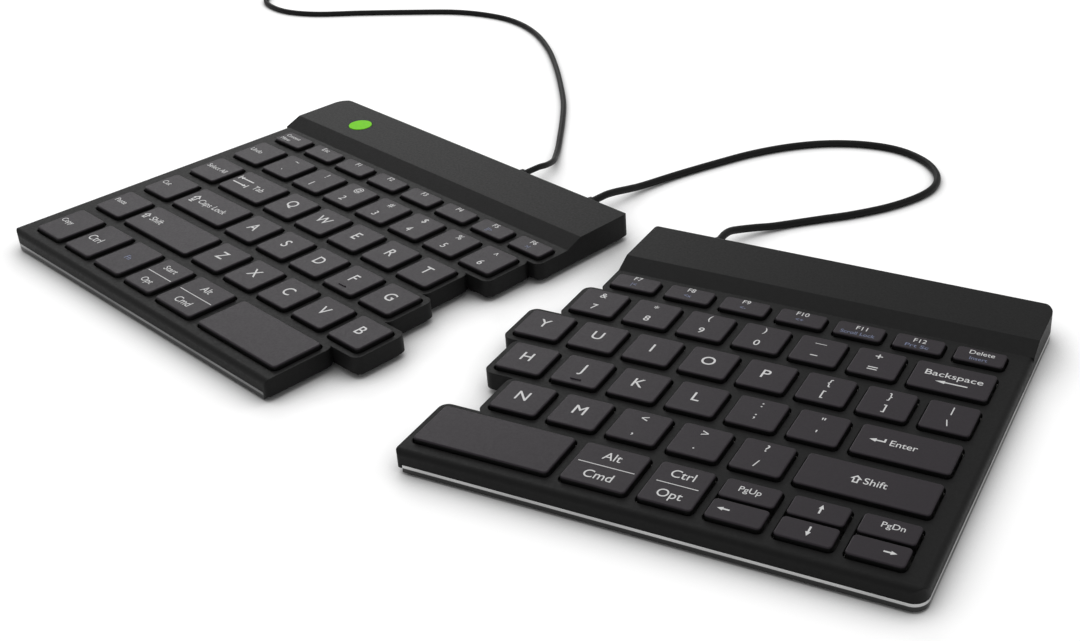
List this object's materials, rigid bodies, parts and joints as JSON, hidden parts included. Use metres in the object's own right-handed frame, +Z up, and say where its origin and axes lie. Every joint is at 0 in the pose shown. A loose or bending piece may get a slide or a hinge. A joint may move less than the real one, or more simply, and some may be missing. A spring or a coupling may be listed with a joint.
{
  "type": "split keyboard",
  "caption": "Low-profile split keyboard: two stepped halves on steel base plates, sprung flat keys, a raised rear bar, a link cable and a host cable with plug.",
  "frame": {"origin": "under the middle of the two halves, on the surface they stand on", "axes": "+X to the user's right, +Y away from the user, +Z up"},
  "size_m": [0.5304, 0.3695, 0.0137],
  "materials": {
    "case": "fine matte grain, charcoal black",
    "keys": "smooth matte, dark warm grey, white marks",
    "base_steel": "bright brushed steel",
    "switch_plate": "plain steel sheet",
    "membrane": "translucent printed film",
    "domes": "milky silicone rubber",
    "levers": "white moulded plastic",
    "board": "green solder mask",
    "feet": "black rubber",
    "screws": "zinc plated",
    "light": "green translucent lens",
    "cable": "black matte jacket",
    "tie": "black hook and loop strap",
    "plug_grip": "black moulded grip",
    "plug_shell": "bright plated shell"
  },
  "bodies": {
    "left_half": {"left_top_case": "case", "left_base_plate": "base_steel", "left_switch_plate": "switch_plate", "left_membrane": "membrane", "left_dome_sheet": "domes", "left_scissor_levers": "levers", "controller_board": "board", "left_feet": "feet", "left_screws": "screws", "status_light": "light", "left_cable_reliefs": "cable", "link_cable": "cable", "host_cable": "cable", "host_cable_coil": "cable", "cable_tie": "tie", "usb_plug_grip": "plug_grip", "usb_plug_shell": "plug_shell"},
    "right_half": {"right_top_case": "case", "right_base_plate": "base_steel", "right_switch_plate": "switch_plate", "right_membrane": "membrane", "right_dome_sheet": "domes", "right_scissor_levers": "levers", "link_board": "board", "right_feet": "feet", "right_screws": "screws", "right_link_relief": "cable"},
    "left_side": {"left_side_keys": "keys"},
    "escape": {"escape_key": "keys"},
    "left_function": {"left_function_keys": "keys"},
    "left_number": {"left_number_keys": "keys"},
    "tab": {"tab_key": "keys"},
    "left_upper": {"left_upper_keys": "keys"},
    "caps_lock": {"caps_lock_key": "keys"},
    "left_home": {"left_home_keys": "keys"},
    "left_shift": {"left_shift_key": "keys"},
    "left_lower": {"left_lower_keys": "keys"},
    "left_ctrl": {"left_ctrl_key": "keys"},
    "fn": {"fn_key": "keys"},
    "left_meta": {"left_meta_key": "keys"},
    "left_alt": {"left_alt_key": "keys"},
    "left_space": {"left_space_key": "keys"},
    "right_function": {"right_function_keys": "keys"},
    "delete": {"delete_key": "keys"},
    "right_number": {"right_number_keys": "keys"},
    "backspace": {"backspace_key": "keys"},
    "right_upper": {"right_upper_keys": "keys"},
    "right_home": {"right_home_keys": "keys"},
    "enter": {"enter_key": "keys"},
    "right_lower": {"right_lower_keys": "keys"},
    "right_shift": {"right_shift_key": "keys"},
    "right_space": {"right_space_key": "keys"},
    "right_alt": {"right_alt_key": "keys"},
    "right_ctrl": {"right_ctrl_key": "keys"},
    "page_up": {"page_up_key": "keys"},
    "arrow_left": {"arrow_left_key": "keys"},
    "arrow_up": {"arrow_up_key": "keys"},
    "arrow_down": {"arrow_down_key": "keys"},
    "page_down": {"page_down_key": "keys"},
    "arrow_right": {"arrow_right_key": "keys"}
  },
  "joints": [
    {"name": "half_spread", "type": "slide", "parent": "left_half", "child": "right_half", "axis": [1, 0, 0], "range_m": [0, 0.03], "deforming": ["link_cable"]},
    {"name": "left_side_press", "type": "slide", "parent": "left_half", "child": "left_side", "axis": [0, 0, -1], "range_m": [0, 0.0018], "stiffness_N_per_m": 1200, "springref_m": -0.0015, "deforming": ["left_dome_sheet", "left_scissor_levers"]},
    {"name": "escape_press", "type": "slide", "parent": "left_half", "child": "escape", "axis": [0, 0, -1], "range_m": [0, 0.0018], "stiffness_N_per_m": 200, "springref_m": -0.0015, "deforming": ["left_dome_sheet", "left_scissor_levers"]},
    {"name": "left_function_press", "type": "slide", "parent": "left_half", "child": "left_function", "axis": [0, 0, -1], "range_m": [0, 0.0018], "stiffness_N_per_m": 1200, "springref_m": -0.0015, "deforming": ["left_dome_sheet", "left_scissor_levers"]},
    {"name": "left_number_press", "type": "slide", "parent": "left_half", "child": "left_number", "axis": [0, 0, -1], "range_m": [0, 0.0018], "stiffness_N_per_m": 1400, "springref_m": -0.0015, "deforming": ["left_dome_sheet", "left_scissor_levers"]},
    {"name": "tab_press", "type": "slide", "parent": "left_half", "child": "tab", "axis": [0, 0, -1], "range_m": [0, 0.0018], "stiffness_N_per_m": 200, "springref_m": -0.0015, "deforming": ["left_dome_sheet", "left_scissor_levers"]},
    {"name": "left_upper_press", "type": "slide", "parent": "left_half", "child": "left_upper", "axis": [0, 0, -1], "range_m": [0, 0.0018], "stiffness_N_per_m": 1000, "springref_m": -0.0015, "deforming": ["left_dome_sheet", "left_scissor_levers"]},
    {"name": "caps_lock_press", "type": "slide", "parent": "left_half", "child": "caps_lock", "axis": [0, 0, -1], "range_m": [0, 0.0018], "stiffness_N_per_m": 200, "springref_m": -0.0015, "deforming": ["left_dome_sheet", "left_scissor_levers"]},
    {"name": "left_home_press", "type": "slide", "parent": "left_half", "child": "left_home", "axis": [0, 0, -1], "range_m": [0, 0.0018], "stiffness_N_per_m": 1000, "springref_m": -0.0015, "deforming": ["left_dome_sheet", "left_scissor_levers"]},
    {"name": "left_shift_press", "type": "slide", "parent": "left_half", "child": "left_shift", "axis": [0, 0, -1], "range_m": [0, 0.0018], "stiffness_N_per_m": 200, "springref_m": -0.0015, "deforming": ["left_dome_sheet", "left_scissor_levers"]},
    {"name": "left_lower_press", "type": "slide", "parent": "left_half", "child": "left_lower", "axis": [0, 0, -1], "range_m": [0, 0.0018], "stiffness_N_per_m": 1000, "springref_m": -0.0015, "deforming": ["left_dome_sheet", "left_scissor_levers"]},
    {"name": "left_ctrl_press", "type": "slide", "parent": "left_half", "child": "left_ctrl", "axis": [0, 0, -1], "range_m": [0, 0.0018], "stiffness_N_per_m": 200, "springref_m": -0.0015, "deforming": ["left_dome_sheet", "left_scissor_levers"]},
    {"name": "fn_press", "type": "slide", "parent": "left_half", "child": "fn", "axis": [0, 0, -1], "range_m": [0, 0.0018], "stiffness_N_per_m": 200, "springref_m": -0.0015, "deforming": ["left_dome_sheet", "left_scissor_levers"]},
    {"name": "left_meta_press", "type": "slide", "parent": "left_half", "child": "left_meta", "axis": [0, 0, -1], "range_m": [0, 0.0018], "stiffness_N_per_m": 200, "springref_m": -0.0015, "deforming": ["left_dome_sheet", "left_scissor_levers"]},
    {"name": "left_alt_press", "type": "slide", "parent": "left_half", "child": "left_alt", "axis": [0, 0, -1], "range_m": [0, 0.0018], "stiffness_N_per_m": 200, "springref_m": -0.0015, "deforming": ["left_dome_sheet", "left_scissor_levers"]},
    {"name": "left_space_press", "type": "slide", "parent": "left_half", "child": "left_space", "axis": [0, 0, -1], "range_m": [0, 0.0018], "stiffness_N_per_m": 200, "springref_m": -0.0015, "deforming": ["left_dome_sheet", "left_scissor_levers"]},
    {"name": "right_function_press", "type": "slide", "parent": "right_half", "child": "right_function", "axis": [0, 0, -1], "range_m": [0, 0.0018], "stiffness_N_per_m": 1200, "springref_m": -0.0015, "deforming": ["right_dome_sheet", "right_scissor_levers"]},
    {"name": "delete_press", "type": "slide", "parent": "right_half", "child": "delete", "axis": [0, 0, -1], "range_m": [0, 0.0018], "stiffness_N_per_m": 200, "springref_m": -0.0015, "deforming": ["right_dome_sheet", "right_scissor_levers"]},
    {"name": "right_number_press", "type": "slide", "parent": "right_half", "child": "right_number", "axis": [0, 0, -1], "range_m": [0, 0.0018], "stiffness_N_per_m": 1200, "springref_m": -0.0015, "deforming": ["right_dome_sheet", "right_scissor_levers"]},
    {"name": "backspace_press", "type": "slide", "parent": "right_half", "child": "backspace", "axis": [0, 0, -1], "range_m": [0, 0.0018], "stiffness_N_per_m": 200, "springref_m": -0.0015, "deforming": ["right_dome_sheet", "right_scissor_levers"]},
    {"name": "right_upper_press", "type": "slide", "parent": "right_half", "child": "right_upper", "axis": [0, 0, -1], "range_m": [0, 0.0018], "stiffness_N_per_m": 1600, "springref_m": -0.0015, "deforming": ["right_dome_sheet", "right_scissor_levers"]},
    {"name": "right_home_press", "type": "slide", "parent": "right_half", "child": "right_home", "axis": [0, 0, -1], "range_m": [0, 0.0018], "stiffness_N_per_m": 1200, "springref_m": -0.0015, "deforming": ["right_dome_sheet", "right_scissor_levers"]},
    {"name": "enter_press", "type": "slide", "parent": "right_half", "child": "enter", "axis": [0, 0, -1], "range_m": [0, 0.0018], "stiffness_N_per_m": 200, "springref_m": -0.0015, "deforming": ["right_dome_sheet", "right_scissor_levers"]},
    {"name": "right_lower_press", "type": "slide", "parent": "right_half", "child": "right_lower", "axis": [0, 0, -1], "range_m": [0, 0.0018], "stiffness_N_per_m": 1000, "springref_m": -0.0015, "deforming": ["right_dome_sheet", "right_scissor_levers"]},
    {"name": "right_shift_press", "type": "slide", "parent": "right_half", "child": "right_shift", "axis": [0, 0, -1], "range_m": [0, 0.0018], "stiffness_N_per_m": 200, "springref_m": -0.0015, "deforming": ["right_dome_sheet", "right_scissor_levers"]},
    {"name": "right_space_press", "type": "slide", "parent": "right_half", "child": "right_space", "axis": [0, 0, -1], "range_m": [0, 0.0018], "stiffness_N_per_m": 200, "springref_m": -0.0015, "deforming": ["right_dome_sheet", "right_scissor_levers"]},
    {"name": "right_alt_press", "type": "slide", "parent": "right_half", "child": "right_alt", "axis": [0, 0, -1], "range_m": [0, 0.0018], "stiffness_N_per_m": 200, "springref_m": -0.0015, "deforming": ["right_dome_sheet", "right_scissor_levers"]},
    {"name": "right_ctrl_press", "type": "slide", "parent": "right_half", "child": "right_ctrl", "axis": [0, 0, -1], "range_m": [0, 0.0018], "stiffness_N_per_m": 200, "springref_m": -0.0015, "deforming": ["right_dome_sheet", "right_scissor_levers"]},
    {"name": "page_up_press", "type": "slide", "parent": "right_half", "child": "page_up", "axis": [0, 0, -1], "range_m": [0, 0.0018], "stiffness_N_per_m": 200, "springref_m": -0.0015, "deforming": ["right_dome_sheet", "right_scissor_levers"]},
    {"name": "arrow_left_press", "type": "slide", "parent": "right_half", "child": "arrow_left", "axis": [0, 0, -1], "range_m": [0, 0.0018], "stiffness_N_per_m": 200, "springref_m": -0.0015, "deforming": ["right_dome_sheet", "right_scissor_levers"]},
    {"name": "arrow_up_press", "type": "slide", "parent": "right_half", "child": "arrow_up", "axis": [0, 0, -1], "range_m": [0, 0.0018], "stiffness_N_per_m": 200, "springref_m": -0.0015, "deforming": ["right_dome_sheet", "right_scissor_levers"]},
    {"name": "arrow_down_press", "type": "slide", "parent": "right_half", "child": "arrow_down", "axis": [0, 0, -1], "range_m": [0, 0.0018], "stiffness_N_per_m": 200, "springref_m": -0.0015, "deforming": ["right_dome_sheet", "right_scissor_levers"]},
    {"name": "page_down_press", "type": "slide", "parent": "right_half", "child": "page_down", "axis": [0, 0, -1], "range_m": [0, 0.0018], "stiffness_N_per_m": 200, "springref_m": -0.0015, "deforming": ["right_dome_sheet", "right_scissor_levers"]},
    {"name": "arrow_right_press", "type": "slide", "parent": "right_half", "child": "arrow_right", "axis": [0, 0, -1], "range_m": [0, 0.0018], "stiffness_N_per_m": 200, "springref_m": -0.0015, "deforming": ["right_dome_sheet", "right_scissor_levers"]}
  ]
}
